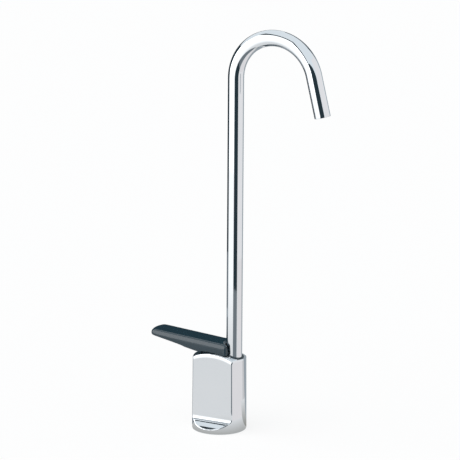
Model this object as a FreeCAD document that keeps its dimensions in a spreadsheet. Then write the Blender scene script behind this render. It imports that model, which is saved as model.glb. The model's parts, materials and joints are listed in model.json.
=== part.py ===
import FreeCAD, Part
import Sketcher
import math
import os
from types import SimpleNamespace

# Glass filler faucet: a push-down, self-closing valve under a swivelling gooseneck spout.
# Frame: millimetres, +Z up from the deck, origin at the middle of the foot, spout towards +X,
# lever towards -X, the two flats of the housing facing -Y and +Y.

SIZES = (
    ("housing_radius", 19.0, "housing at the deck"),
    ("rim_radius", 18.65, "housing where the top round starts, less than the foot by the draft"),
    ("dome_radius", 41.0, "ball radius of the domed top"),
    ("roof_height", 6.7, "top of the dome above the ceiling of the cavity"),
    ("rim_round", 1.9, "round between the round sides and the dome"),
    ("flat_round", 3.0, "round between each flat and the dome"),
    ("foot_round", 0.6, "round at the deck"),
    ("flat_offset", 10.75, "axis of the housing to each flat"),
    ("flat_wall", 1.7, "wall behind each flat"),
    ("cove_radius", 3.3, "hollow at the bottom of each flat"),
    ("cove_height", 10.4, "height where a flat runs into its cove"),
    ("cove_turn", 75.0, "angle that the cove turns through, degrees"),
    ("ledge_fall", 35.0, "slope of the ledge below the cove, degrees"),
    ("slot_reach", 12.0, "axis of the housing to the lever end of the slot"),
    ("tube_diameter", 11.11, "spout tube, outside"),
    ("tube_wall", 1.0, "spout tube"),
    ("tube_gap", 0.5, "clearance round the tube in the slot and in the notch of the lever"),
    ("cavity_gap", 0.35, "clearance between the tube and the wall of the cavity"),
    ("spout_offset", 11.55, "axis of the housing to the axis of the spout"),
    ("riser_length", 193.5, "top of the housing to the start of the bend"),
    ("bend_radius", 30.3, "centre line of the bend"),
    ("bend_angle", 166.0, "angle of the bend, degrees"),
    ("outlet_length", 28.7, "straight end of the spout"),
    ("gasket_thickness", 1.0, "rubber ring under the flange"),
    ("gasket_bore", 8.0, "opening in the gasket, radius"),
    ("flange_thickness", 2.0, "flange of the valve body"),
    ("inlet_radius", 5.72, "core of a G 1/4 pipe thread"),
    ("inlet_depth", 10.5, "inlet with the recess above its thread"),
    ("inlet_wall", 2.8, "wall round the inlet"),
    ("inlet_chamfer", 0.8, "lead-in of the inlet"),
    ("recess_radius", 5.0, "recess for the strainer and the flow washer"),
    ("floor_thickness", 2.5, "between the inlet and the valve chamber"),
    ("duct_radius", 1.8, "hole from the inlet to the valve chamber"),
    ("duct_offset", 4.0, "axis of the housing to the duct"),
    ("stem_offset", 7.0, "axis of the housing to the stem"),
    ("chamber_radius", 5.0, "valve chamber"),
    ("barrel_wall", 3.5, "wall round the valve chamber"),
    ("spring_length", 7.0, "return spring with the valve shut"),
    ("spring_radius", 3.0, "return spring, middle of the wire"),
    ("spring_wire", 0.8, "return spring"),
    ("spring_turns", 5.0, "return spring"),
    ("disc_thickness", 2.0, "disc of the stem"),
    ("disc_radius", 4.3, "disc of the stem"),
    ("tail_length", 4.2, "tail of the stem inside the spring"),
    ("washer_thickness", 1.6, "rubber washer on the disc"),
    ("seat_height", 3.35, "seat ring"),
    ("seat_bore", 2.9, "seat ring, radius"),
    ("outlet_room", 5.0, "chamber above the seat"),
    ("passage_radius", 2.0, "way from the chamber to the spout"),
    ("neck_length", 3.0, "neck of the bonnet in the barrel"),
    ("yoke_thickness", 1.5, "steel of the yoke"),
    ("yoke_gap", 0.65, "lever hub to each ear of the yoke"),
    ("bonnet_head", 2.5, "hexagon of the bonnet"),
    ("bonnet_flats", 13.0, "hexagon of the bonnet, across flats"),
    ("stem_radius", 2.0, "stem"),
    ("stem_clear", 1.6, "bonnet to the underside of the stem cap"),
    ("cap_height", 1.8, "wear cap on the stem"),
    ("cap_radius", 3.2, "wear cap on the stem"),
    ("cap_grip", 1.1, "stem inside its wear cap"),
    ("push_gap", 0.05, "stem cap to the lever"),
    ("push_radius", 3.0, "round nose of the lever on the stem cap"),
    ("pivot_offset", 1.5, "axis of the housing to the lever pin"),
    ("ear_radius", 3.0, "ears of the yoke round the pin"),
    ("ear_gap", 0.55, "ears of the yoke to the ceiling"),
    ("pin_radius", 1.5, "lever pin"),
    ("bush_wall", 1.0, "bush in the lever"),
    ("boss_wall", 1.2, "lever round its bush"),
    ("hub_gap", 0.4, "lever hub to each side of the slot"),
    ("lever_width", 19.3, "blade of the lever"),
    ("lever_reach", 52.3, "axis of the housing to the tip of the lever"),
    ("lever_heel", 10.2, "axis of the housing to the heel of the lever"),
    ("lever_lift", 6.7, "top of the lever above the dome"),
    ("lever_depth", 10.4, "depth of the lever at the axis of the housing"),
    ("lever_slope", 3.86, "top of the lever, degrees"),
    ("underside_slope", 10.4, "underside of the lever, degrees"),
    ("lever_travel", 8.0, "push of the lever, degrees"),
    ("lever_gap", 0.35, "lever to the dome, shut and open"),
    ("tip_radius", 20.0, "tip of the lever seen from above"),
    ("tip_corner", 2.5, "corners of the tip"),
    ("heel_corner", 1.8, "corners of the heel"),
    ("lever_top_round", 2.4, "top edges of the lever"),
    ("lever_low_round", 1.0, "lower edges of the lever"),
    ("collar_radius", 6.75, "collar on the dome round the tube"),
    ("collar_height", 0.45, "collar above the dome"),
    ("socket_rise", 8.0, "spout socket above the barrel"),
    ("socket_floor", 9.0, "bottom of the socket bore below the top of the barrel"),
    ("spigot_radius", 3.95, "tail of the spout in the socket"),
    ("spigot_length", 11.0, "tail of the spout below the slip washer"),
    ("spigot_bore", 2.2, "waterway of the spout adapter, radius"),
    ("adapter_grip", 12.0, "adapter inside the tube"),
    ("slip_thickness", 0.8, "slip washer under the tube"),
    ("running_fit", 0.05, "turning and sliding fits, on the radius"),
    ("press_fit_gap", 0.02, "fixed fits and seals, on the radius"),
    ("seal_section", 1.0, "O-rings, diameter of the rubber"),
    ("seal_play", 0.3, "O-rings along their grooves"),
    ("seal_pitch", 3.2, "between the two O-rings of the spout"),
    ("catch_width", 2.0, "groove for the set screw"),
    ("catch_depth", 0.85, "groove for the set screw"),
    ("catch_height", 2.0, "middle of that groove above the end of the spigot"),
    ("set_screw_radius", 1.25, "set screw of the spout"),
    ("dog_radius", 0.7, "point of the set screw"),
    ("dog_gap", 0.2, "point of the set screw to the bottom of its groove"),
    ("screw_radius", 1.25, "housing screws"),
    ("screw_land", 1.0, "metal between a screw hole and the cavity"),
    ("screw_depth", 3.8, "screw holes in the housing"),
    ("screw_head", 2.4, "countersunk head, radius"),
    ("strainer_thickness", 0.6, "perforated strainer"),
    ("strainer_hole", 0.55, "holes of the strainer, radius"),
    ("strainer_pitch", 1.95, "between the rings of holes in the strainer"),
    ("flow_thickness", 1.2, "flow washer"),
    ("flow_bore", 1.6, "flow washer, radius"),
)

doc = FreeCAD.newDocument("GlassFiller")
NODES = []
PARTS_FOLDER = "parts"
CLOSE = 0.01


class Measure:
    """A size together with the sheet expression that gives it."""

    def __init__(self, value, text):
        self.value = value
        self.text = text

    def __add__(self, other):
        other = measure(other)
        return Measure(self.value + other.value, f"({self.text} + {other.text})")

    def __sub__(self, other):
        other = measure(other)
        return Measure(self.value - other.value, f"({self.text} - {other.text})")

    def __mul__(self, other):
        other = measure(other)
        return Measure(self.value * other.value, f"({self.text} * {other.text})")

    def __truediv__(self, other):
        other = measure(other)
        return Measure(self.value / other.value, f"({self.text} / {other.text})")

    def __neg__(self):
        return self * -1.0

    def __rsub__(self, other):
        return measure(other) - self

    __radd__ = __add__
    __rmul__ = __mul__


def measure(amount):
    if isinstance(amount, Measure):
        return amount
    return Measure(float(amount), f"({float(amount)})")


def sine(angle):
    return Measure(math.sin(math.radians(angle.value)), f"sin({angle.text})")


def cosine(angle):
    return Measure(math.cos(math.radians(angle.value)), f"cos({angle.text})")


def tangent(angle):
    return Measure(math.tan(math.radians(angle.value)), f"tan({angle.text})")


def root(amount):
    return Measure(math.sqrt(amount.value), f"sqrt({amount.text})")


def make_sheet():
    """Write the driving sizes to the sheet and give them back as measures."""
    sheet = doc.addObject("Spreadsheet::Sheet", "Sizes")
    for row, (alias, value, note) in enumerate(SIZES, start=1):
        sheet.set(f"A{row}", alias)
        sheet.set(f"B{row}", str(value))
        sheet.setAlias(f"B{row}", alias)
        sheet.set(f"C{row}", note)
    doc.recompute()
    return SimpleNamespace(**{alias: Measure(value, f"Sizes.{alias}") for alias, value, note in SIZES})


size = make_sheet()

# Heights of the valve, stacked up from the deck.
flange_top = size.gasket_thickness + size.flange_thickness
inlet_top = size.gasket_thickness + size.inlet_depth
flow_bottom = inlet_top - size.flow_thickness
thread_top = flow_bottom - size.strainer_thickness
chamber_floor = inlet_top + size.floor_thickness
disc_bottom = chamber_floor + size.spring_length
disc_top = disc_bottom + size.disc_thickness
seat_bottom = disc_top + size.washer_thickness + size.running_fit
seat_top = seat_bottom + size.seat_height
neck_bottom = seat_top + size.outlet_room
barrel_top = neck_bottom + size.neck_length
yoke_top = barrel_top + size.yoke_thickness
bonnet_top = yoke_top + size.bonnet_head
cap_bottom = bonnet_top + size.stem_clear
cap_top = cap_bottom + size.cap_height
pivot_height = cap_top + size.push_gap + size.push_radius
ceiling_height = pivot_height + size.ear_radius + size.ear_gap
housing_height = ceiling_height + size.roof_height
dome_centre = housing_height - size.dome_radius
socket_top = barrel_top + size.socket_rise
socket_bottom = barrel_top - size.socket_floor
tube_foot = socket_top + size.slip_thickness + size.running_fit
spigot_end = tube_foot - size.spigot_length
bend_height = housing_height + size.riser_length

# Widths and radii shared by pieces that fit each other.
tube_radius = size.tube_diameter / 2
tube_bore = tube_radius - size.tube_wall
slot_half = tube_radius + size.tube_gap
hub_half = slot_half - size.hub_gap
cavity_radius = size.spout_offset + tube_radius + size.cavity_gap
cavity_half = size.flat_offset - size.flat_wall
flange_radius = cavity_radius - size.running_fit
barrel_radius = size.chamber_radius + size.barrel_wall
socket_bore = size.spigot_radius + size.running_fit
bush_bore = size.pin_radius + size.running_fit
bush_radius = bush_bore + size.bush_wall
boss_radius = bush_radius + size.boss_wall
ear_inside = hub_half + size.yoke_gap
ear_outside = ear_inside + size.yoke_thickness
screw_offset = cavity_half + size.screw_radius + size.screw_land
stem_x = -size.stem_offset
seal_radius = size.seal_section / 2
seal_room = size.seal_section + size.seal_play
catch_centre = spigot_end + size.catch_height


def bind(thing, **sizes):
    for prop, amount in sizes.items():
        thing.setExpression(prop, measure(amount).text)


def place(thing, x=0, y=0, z=0):
    for axis, amount in (("x", x), ("y", y), ("z", z)):
        thing.setExpression(f"Placement.Base.{axis}", measure(amount).text)
    return thing


def node(label, thing):
    """Name a finished sub-part; its label is the name of its file."""
    thing.Label = label
    NODES.append(thing)
    return thing


def new_body(label):
    return node(label, doc.addObject("PartDesign::Body", label))


def new_sketch(body, plane, rise=0):
    """A sketch on one of the body's own origin planes; rise moves its origin up along +Z."""
    sketch = body.newObject("Sketcher::SketchObject", "Sketch")
    support = [feature for feature in body.Origin.OriginFeatures if feature.Role == plane]
    sketch.AttachmentSupport = [(support[0], "")]
    sketch.MapMode = "FlatFace"
    up = "z" if plane == "XY_Plane" else "y"
    sketch.setExpression(f"AttachmentOffset.Base.{up}", measure(rise).text)
    return sketch


def fix_point(sketch, element, end, x, y):
    """Hold one end of a sketch element at x, y from the sketch's origin."""
    for kind, amount, axis in (("DistanceX", measure(x), -2), ("DistanceY", measure(y), -1)):
        if amount.value == 0:
            sketch.addConstraint(Sketcher.Constraint("PointOnObject", element, end, axis))
            continue
        index = sketch.addConstraint(Sketcher.Constraint(kind, -1, 1, element, end, amount.value))
        sketch.setExpression(f"Constraints[{index}]", amount.text)


def add_segment(sketch, start, stop, bend):
    """Add a line, or an arc of under a half turn, and tell which ends meet start and stop."""
    first = FreeCAD.Vector(measure(start[0]).value, measure(start[1]).value)
    last = FreeCAD.Vector(measure(stop[0]).value, measure(stop[1]).value)
    if bend is None:
        return sketch.addGeometry(Part.LineSegment(first, last)), 1, 2
    radius, side = bend
    chord = last - first
    left = FreeCAD.Vector(-chord.y, chord.x).normalize()
    height = math.sqrt(max(radius.value ** 2 - chord.Length ** 2 / 4, 0))
    turn = 1 if side == "left" else -1
    centre = (first + last) / 2 + left * (turn * height)
    begin, finish = (first, last) if side == "left" else (last, first)
    angles = [math.atan2(point.y - centre.y, point.x - centre.x) for point in (begin, finish)]
    ring = Part.Circle(centre, FreeCAD.Vector(0, 0, 1), radius.value)
    element = sketch.addGeometry(Part.ArcOfCircle(ring, *angles))
    index = sketch.addConstraint(Sketcher.Constraint("Radius", element, radius.value))
    sketch.setExpression(f"Constraints[{index}]", radius.text)
    return (element, 1, 2) if side == "left" else (element, 2, 1)


def draw(sketch, points, bends=None, closed=True):
    """Draw an outline through points; bends turns a stretch, by number, into an arc."""
    bends = bends or {}
    stops = points[1:] + points[:1] if closed else points[1:]
    segments = [add_segment(sketch, start, stop, bends.get(index))
                for index, (start, stop) in enumerate(zip(points, stops))]
    for (element, begin, finish), (x, y) in zip(segments, points):
        fix_point(sketch, element, begin, x, y)
    if not closed:
        fix_point(sketch, segments[-1][0], segments[-1][2], *points[-1])
    followers = segments[1:] + segments[:1] if closed else segments[1:]
    for (element, begin, finish), (after, start, stop) in zip(segments, followers):
        sketch.addConstraint(Sketcher.Constraint("Coincident", element, finish, after, start))
    return sketch


def draw_circle(sketch, radius, x=0, y=0):
    centre = FreeCAD.Vector(measure(x).value, measure(y).value)
    ring = sketch.addGeometry(Part.Circle(centre, FreeCAD.Vector(0, 0, 1), radius.value))
    index = sketch.addConstraint(Sketcher.Constraint("Radius", ring, radius.value))
    sketch.setExpression(f"Constraints[{index}]", radius.text)
    fix_point(sketch, ring, 3, x, y)
    return sketch


def draw_box(sketch, left, right, low, high):
    return draw(sketch, [(left, low), (right, low), (right, high), (left, high)])


def pad(body, sketch, length, symmetric=True):
    feature = body.newObject("PartDesign::Pad", "Pad")
    feature.Profile = sketch
    feature.SideType = "Symmetric" if symmetric else "One side"
    bind(feature, Length=length)
    return feature


def pocket(body, sketch, length=None, symmetric=False):
    """Cut a sketch out: upwards from the XY plane, or to both sides of an upright plane."""
    feature = body.newObject("PartDesign::Pocket", "Pocket")
    feature.Profile = sketch
    feature.SideType = "Symmetric" if symmetric else "One side"
    feature.Reversed = not symmetric
    if length is None:
        feature.Type = "ThroughAll"
    else:
        bind(feature, Length=length)
    return feature


def revolve(body, sketch, kind="Revolution", axis="V_Axis", angle=360):
    feature = body.newObject(f"PartDesign::{kind}", kind)
    feature.Profile = sketch
    feature.ReferenceAxis = (sketch, [axis])
    feature.Angle = angle
    feature.Midplane = True
    return feature


def fillet(body, radius, wanted):
    """Round the edges of the body so far for which wanted(edge) is true."""
    doc.recompute()
    base = body.Tip
    edges = enumerate(base.Shape.Edges, start=1)
    feature = body.newObject("PartDesign::Fillet", "Fillet")
    feature.Base = (base, [f"Edge{number}" for number, edge in edges if wanted(edge)])
    bind(feature, Radius=radius)


def turned(label, profile, x=0):
    """A lathe-turned piece: radii and heights of its profile, about an upright axis at x."""
    body = new_body(label)
    revolve(body, draw(new_sketch(body, "XZ_Plane"), profile))
    return place(body, x=x)


def ring(label, inside, outside, low, high, x=0):
    return turned(label, [(inside, low), (outside, low), (outside, high), (inside, high)], x)


def cylinder(radius, height, x=0, y=0, z=0, tilt=None):
    """A plain cylinder that stands at x, y, z, or lies along +X or +Y from there."""
    thing = doc.addObject("Part::Cylinder", "Cylinder")
    turns = {None: FreeCAD.Rotation(), "x": FreeCAD.Rotation(FreeCAD.Vector(0, 1, 0), 90),
             "y": FreeCAD.Rotation(FreeCAD.Vector(1, 0, 0), -90)}
    thing.Placement.Rotation = turns[tilt]
    bind(thing, Radius=radius, Height=height)
    return place(thing, x, y, z)


def cone(low_radius, high_radius, height, x=0, y=0, z=0):
    thing = doc.addObject("Part::Cone", "Cone")
    bind(thing, Radius1=low_radius, Radius2=high_radius, Height=height)
    return place(thing, x, y, z)


def block(left, right, half, low, high, centre=0):
    thing = doc.addObject("Part::Box", "Box")
    bind(thing, Length=measure(right) - left, Width=half * 2, Height=measure(high) - low)
    return place(thing, left, centre - half, low)


def torus(ring_radius, x, z):
    """An O-ring about an upright axis at x, with its middle at height z."""
    thing = doc.addObject("Part::Torus", "Ring")
    bind(thing, Radius1=ring_radius, Radius2=seal_radius)
    return place(thing, x, 0, z)


def ball(radius):
    """A ball about the centre of the dome."""
    thing = doc.addObject("Part::Sphere", "Ball")
    bind(thing, Radius=radius)
    return place(thing, z=dome_centre)


def fuse(*things):
    thing = doc.addObject("Part::MultiFuse", "Fusion")
    thing.Shapes = list(things)
    return thing


def cut(base, *tools):
    thing = doc.addObject("Part::Cut", "Cut")
    thing.Base = base
    thing.Tool = fuse(*tools) if len(tools) > 1 else tools[0]
    return thing


def common(*things):
    thing = doc.addObject("Part::MultiCommon", "Common")
    thing.Shapes = list(things)
    return thing


def group(label, things):
    thing = doc.addObject("Part::Compound", label)
    thing.Links = list(things)
    return node(label, thing)


def round_from_ball(offset, radius):
    """Where a top round meets a side at offset, and where it runs into the dome, from its centre."""
    inner = size.dome_radius - radius
    centre = offset - radius
    rise = root(inner * inner - centre * centre)
    share = size.dome_radius / inner
    return rise, centre * share, rise * share


def build_housing():
    """Shell: turned blank, two flats with coves and ledges, cavity, foot recess and top slot."""
    body = new_body("housing")
    rim_rise, dome_x, dome_z = round_from_ball(size.rim_radius, size.rim_round)
    blank = draw(new_sketch(body, "XZ_Plane"), [
        (0, 0), (size.housing_radius - size.foot_round, 0), (size.housing_radius, size.foot_round),
        (size.rim_radius, dome_centre + rim_rise), (dome_x, dome_centre + dome_z), (0, housing_height),
    ], {1: (size.foot_round, "left"), 3: (size.rim_round, "left"), 4: (size.dome_radius, "left")})
    revolve(body, blank)

    # Above the centre of the dome a flat and its top round turn about that centre.
    flat_rise, edge_y, edge_z = round_from_ball(size.flat_offset, size.flat_round)
    reach = size.dome_radius + size.housing_radius
    upper = draw(new_sketch(body, "YZ_Plane", dome_centre), [
        (-size.flat_offset, 0), (-size.flat_offset, flat_rise), (-edge_y, edge_z),
        (-edge_y, reach), (-reach, reach), (-reach, 0),
    ], {1: (size.flat_round, "right")})
    upper_cut = revolve(body, upper, "Groove", "H_Axis", 180)

    # Below it the flat ends in a cove, a crease and a sloping ledge.
    crease_y = size.flat_offset + size.cove_radius * (1 - cosine(size.cove_turn))
    crease_z = size.cove_height - size.cove_radius * sine(size.cove_turn)
    toe = crease_z - (reach - crease_y) * tangent(size.ledge_fall)
    lower = draw(new_sketch(body, "YZ_Plane"), [
        (-size.flat_offset, dome_centre), (-size.flat_offset, size.cove_height),
        (-crease_y, crease_z), (-reach, toe), (-reach, dome_centre),
    ], {1: (size.cove_radius, "right")})
    lower_cut = pocket(body, lower, reach * 2, symmetric=True)

    mirror = body.newObject("PartDesign::Mirrored", "Mirrored")
    mirror.Originals = [upper_cut, lower_cut]
    planes = [feature for feature in body.Origin.OriginFeatures if feature.Role == "XZ_Plane"]
    mirror.MirrorPlane = (planes[0], [""])
    body.Tip = mirror

    cavity_x = root(cavity_radius * cavity_radius - cavity_half * cavity_half)
    pocket(body, draw(new_sketch(body, "XY_Plane"), [
        (-cavity_x, -cavity_half), (cavity_x, -cavity_half),
        (cavity_x, cavity_half), (-cavity_x, cavity_half),
    ], {1: (cavity_radius, "left"), 3: (cavity_radius, "left")}), ceiling_height)
    pocket(body, draw_circle(new_sketch(body, "XY_Plane"), cavity_radius), flange_top)
    pocket(body, draw(new_sketch(body, "XY_Plane", ceiling_height), [
        (-size.slot_reach, -slot_half), (size.spout_offset, -slot_half),
        (size.spout_offset + slot_half, 0),
        (size.spout_offset, slot_half), (-size.slot_reach, slot_half),
    ], {1: (slot_half, "left"), 2: (slot_half, "left")}))
    holes = new_sketch(body, "XY_Plane", flange_top)
    for side in (-1, 1):
        draw_circle(holes, size.screw_radius, 0, screw_offset * side)
    pocket(body, holes, size.screw_depth)


def build_valve_body():
    """Brass casting: flange, inlet boss, valve barrel, spout socket and the web between them."""
    solid = fuse(
        cylinder(flange_radius, size.flange_thickness, z=size.gasket_thickness),
        cylinder(size.inlet_radius + size.inlet_wall, chamber_floor - size.gasket_thickness,
                 z=size.gasket_thickness),
        cylinder(barrel_radius, barrel_top - size.gasket_thickness, stem_x, 0, size.gasket_thickness),
        cylinder(tube_radius, socket_top - socket_bottom + size.floor_thickness,
                 size.spout_offset, 0, socket_bottom - size.floor_thickness),
        block(stem_x, size.spout_offset, socket_bore, socket_bottom - size.floor_thickness, barrel_top))
    waterways = [
        cylinder(size.inlet_radius, thread_top - size.gasket_thickness, z=size.gasket_thickness),
        cylinder(size.recess_radius, inlet_top - thread_top, z=thread_top),
        cone(size.inlet_radius + size.inlet_chamfer, size.inlet_radius, size.inlet_chamfer,
             z=size.gasket_thickness),
        cylinder(size.duct_radius, size.floor_thickness * 2, -size.duct_offset, 0,
                 inlet_top - size.floor_thickness / 2),
        cylinder(size.chamber_radius, barrel_top - chamber_floor, stem_x, 0, chamber_floor),
        cylinder(size.passage_radius, size.stem_offset + size.spout_offset, stem_x, 0,
                 seat_top + size.outlet_room / 2, "x"),
        cylinder(socket_bore, socket_top - socket_bottom, size.spout_offset, 0, socket_bottom),
        cylinder(size.set_screw_radius, tube_radius, size.spout_offset, -tube_radius, catch_centre, "y"),
    ]
    for side in (-1, 1):
        y = screw_offset * side
        waterways.append(cylinder(size.screw_radius + size.running_fit, size.flange_thickness,
                                  0, y, size.gasket_thickness))
        waterways.append(cone(size.screw_head + size.running_fit, size.screw_radius + size.running_fit,
                              size.screw_head - size.screw_radius, 0, y, size.gasket_thickness))
    node("valve_body", cut(solid, *waterways))


def build_foot():
    """Gasket under the flange and the two screws that hold the housing down on it."""
    ring("base_gasket", size.gasket_bore, flange_radius, 0, size.gasket_thickness)
    slope = size.screw_head - size.screw_radius
    shank_top = flange_top + size.screw_depth - 2 * size.running_fit
    radius = size.screw_radius - size.press_fit_gap
    screws = []
    for side in (-1, 1):
        head = cone(size.screw_head - size.press_fit_gap, radius, slope, 0, screw_offset * side,
                    size.gasket_thickness)
        shank = cylinder(radius, shank_top - size.gasket_thickness - slope, 0, screw_offset * side,
                         size.gasket_thickness + slope)
        screws.append(fuse(head, shank))
    group("housing_screws", screws)


def build_inlet():
    """Strainer and flow washer in the recess above the thread of the inlet."""
    radius = size.recess_radius - size.press_fit_gap
    ring("flow_washer", size.flow_bore, radius, flow_bottom, inlet_top)
    body = new_body("inlet_strainer")
    pad(body, draw_circle(new_sketch(body, "XY_Plane"), radius), size.strainer_thickness, symmetric=False)
    holes = draw_circle(new_sketch(body, "XY_Plane"), size.strainer_hole)
    for row, count in ((1, 6), (2, 12)):
        spread = size.strainer_pitch * row
        for step in range(count):
            angle = measure(360.0 * step / count)
            draw_circle(holes, size.strainer_hole, spread * cosine(angle), spread * sine(angle))
    pocket(body, holes)
    place(body, z=thread_top)


def build_valve():
    """Seat, stem, washer, spring, bonnet and their seals, all on the axis of the stem."""
    groove = size.chamber_radius - size.press_fit_gap * 2 - size.seal_section
    seat_radius = size.chamber_radius - size.press_fit_gap
    seat_middle = (seat_bottom + seat_top) / 2
    turned("valve_seat", [
        (size.seat_bore, seat_bottom), (size.disc_radius, seat_bottom),
        (seat_radius, seat_middle - seal_room),
        (seat_radius, seat_middle - seal_room / 2), (groove, seat_middle - seal_room / 2),
        (groove, seat_middle + seal_room / 2), (seat_radius, seat_middle + seal_room / 2),
        (seat_radius, seat_top), (size.seat_bore, seat_top),
    ], stem_x)
    seal_ring = size.chamber_radius - size.press_fit_gap - seal_radius
    node("seat_seal", torus(seal_ring, stem_x, seat_middle))

    stem_top = cap_bottom + size.cap_grip
    tail_bottom = disc_bottom - size.tail_length
    turned("valve_stem", [
        (0, tail_bottom), (size.stem_radius, tail_bottom), (size.stem_radius, disc_bottom),
        (size.disc_radius, disc_bottom), (size.disc_radius, disc_top), (size.stem_radius, disc_top),
        (size.stem_radius, stem_top), (0, stem_top),
    ], stem_x)
    grip = size.stem_radius + size.press_fit_gap
    ring("seat_washer", grip, size.disc_radius, disc_top, disc_top + size.washer_thickness, stem_x)
    turned("stem_cap", [
        (grip, cap_bottom), (size.cap_radius, cap_bottom), (size.cap_radius, cap_top), (0, cap_top),
        (0, stem_top + size.press_fit_gap), (grip, stem_top + size.press_fit_gap),
    ], stem_x)

    neck_radius = size.chamber_radius - size.press_fit_gap
    neck_middle = neck_bottom + size.neck_length / 2
    head_middle = yoke_top + size.bonnet_head / 2
    hexagon = doc.addObject("Part::Prism", "Hexagon")
    hexagon.Polygon = 6
    bind(hexagon, Circumradius=size.bonnet_flats / math.sqrt(3), Height=size.bonnet_head)
    place(hexagon, stem_x, 0, yoke_top)
    inner_groove = size.stem_radius + size.press_fit_gap * 2 + size.seal_section
    outer_groove = cut(
        cylinder(size.chamber_radius * 2, seal_room, stem_x, 0, neck_middle - seal_room / 2),
        cylinder(groove, seal_room, stem_x, 0, neck_middle - seal_room / 2))
    node("bonnet", cut(
        fuse(hexagon, cylinder(neck_radius, yoke_top - neck_bottom, stem_x, 0, neck_bottom)),
        cylinder(size.stem_radius + size.running_fit, bonnet_top - neck_bottom, stem_x, 0, neck_bottom),
        cylinder(inner_groove, seal_room, stem_x, 0, head_middle - seal_room / 2), outer_groove))
    node("bonnet_seal", torus(seal_ring, stem_x, neck_middle))
    node("stem_o_ring", torus(size.stem_radius + size.press_fit_gap + seal_radius, stem_x, head_middle))


def build_spring():
    """Return spring: one wire wound between the chamber floor and the stem disc."""
    helix = doc.addObject("Part::Helix", "Winding")
    wound = size.spring_length - size.spring_wire - size.running_fit * 2
    bind(helix, Radius=size.spring_radius, Height=wound, Pitch=wound / size.spring_turns)
    start = chamber_floor + size.spring_wire / 2 + size.running_fit
    place(helix, stem_x, 0, start)
    section = doc.addObject("Part::Circle", "WireSection")
    section.Placement.Rotation = FreeCAD.Rotation(FreeCAD.Vector(1, 0, 0), 90)
    bind(section, Radius=size.spring_wire / 2)
    place(section, stem_x + size.spring_radius, 0, start)
    spring = doc.addObject("Part::Sweep", "return_spring")
    spring.Sections = [section]
    spring.Spine = (helix, [])
    spring.Solid = True
    spring.Frenet = True
    node("return_spring", spring)


def build_yoke():
    """Bent bracket under the bonnet, its pin, and the bush that turns on the pin."""
    left = stem_x - size.chamber_radius - size.yoke_thickness
    right = size.pivot_offset + size.ear_radius
    ears = []
    for side in (-1, 1):
        middle = (ear_inside + ear_outside) / 2 * side
        half = size.yoke_thickness / 2
        ears.append(block(size.pivot_offset - size.ear_radius, right, half, barrel_top, pivot_height,
                          middle))
        ears.append(cylinder(size.ear_radius, size.yoke_thickness, size.pivot_offset, middle - half,
                             pivot_height, "y"))
    plate = block(left, right, ear_outside, barrel_top, yoke_top)
    node("pivot_yoke", cut(
        fuse(plate, *ears),
        cylinder(size.chamber_radius, size.yoke_thickness, stem_x, 0, barrel_top),
        cylinder(size.pin_radius + size.press_fit_gap, ear_outside * 2, size.pivot_offset, -ear_outside,
                 pivot_height, "y")))
    node("lever_pin", cylinder(size.pin_radius, ear_outside * 2, size.pivot_offset, -ear_outside,
                               pivot_height, "y"))
    node("lever_bush", cut(
        cylinder(bush_radius, hub_half * 2, size.pivot_offset, -hub_half, pivot_height, "y"),
        cylinder(bush_bore, hub_half * 2, size.pivot_offset, -hub_half, pivot_height, "y")))


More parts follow.
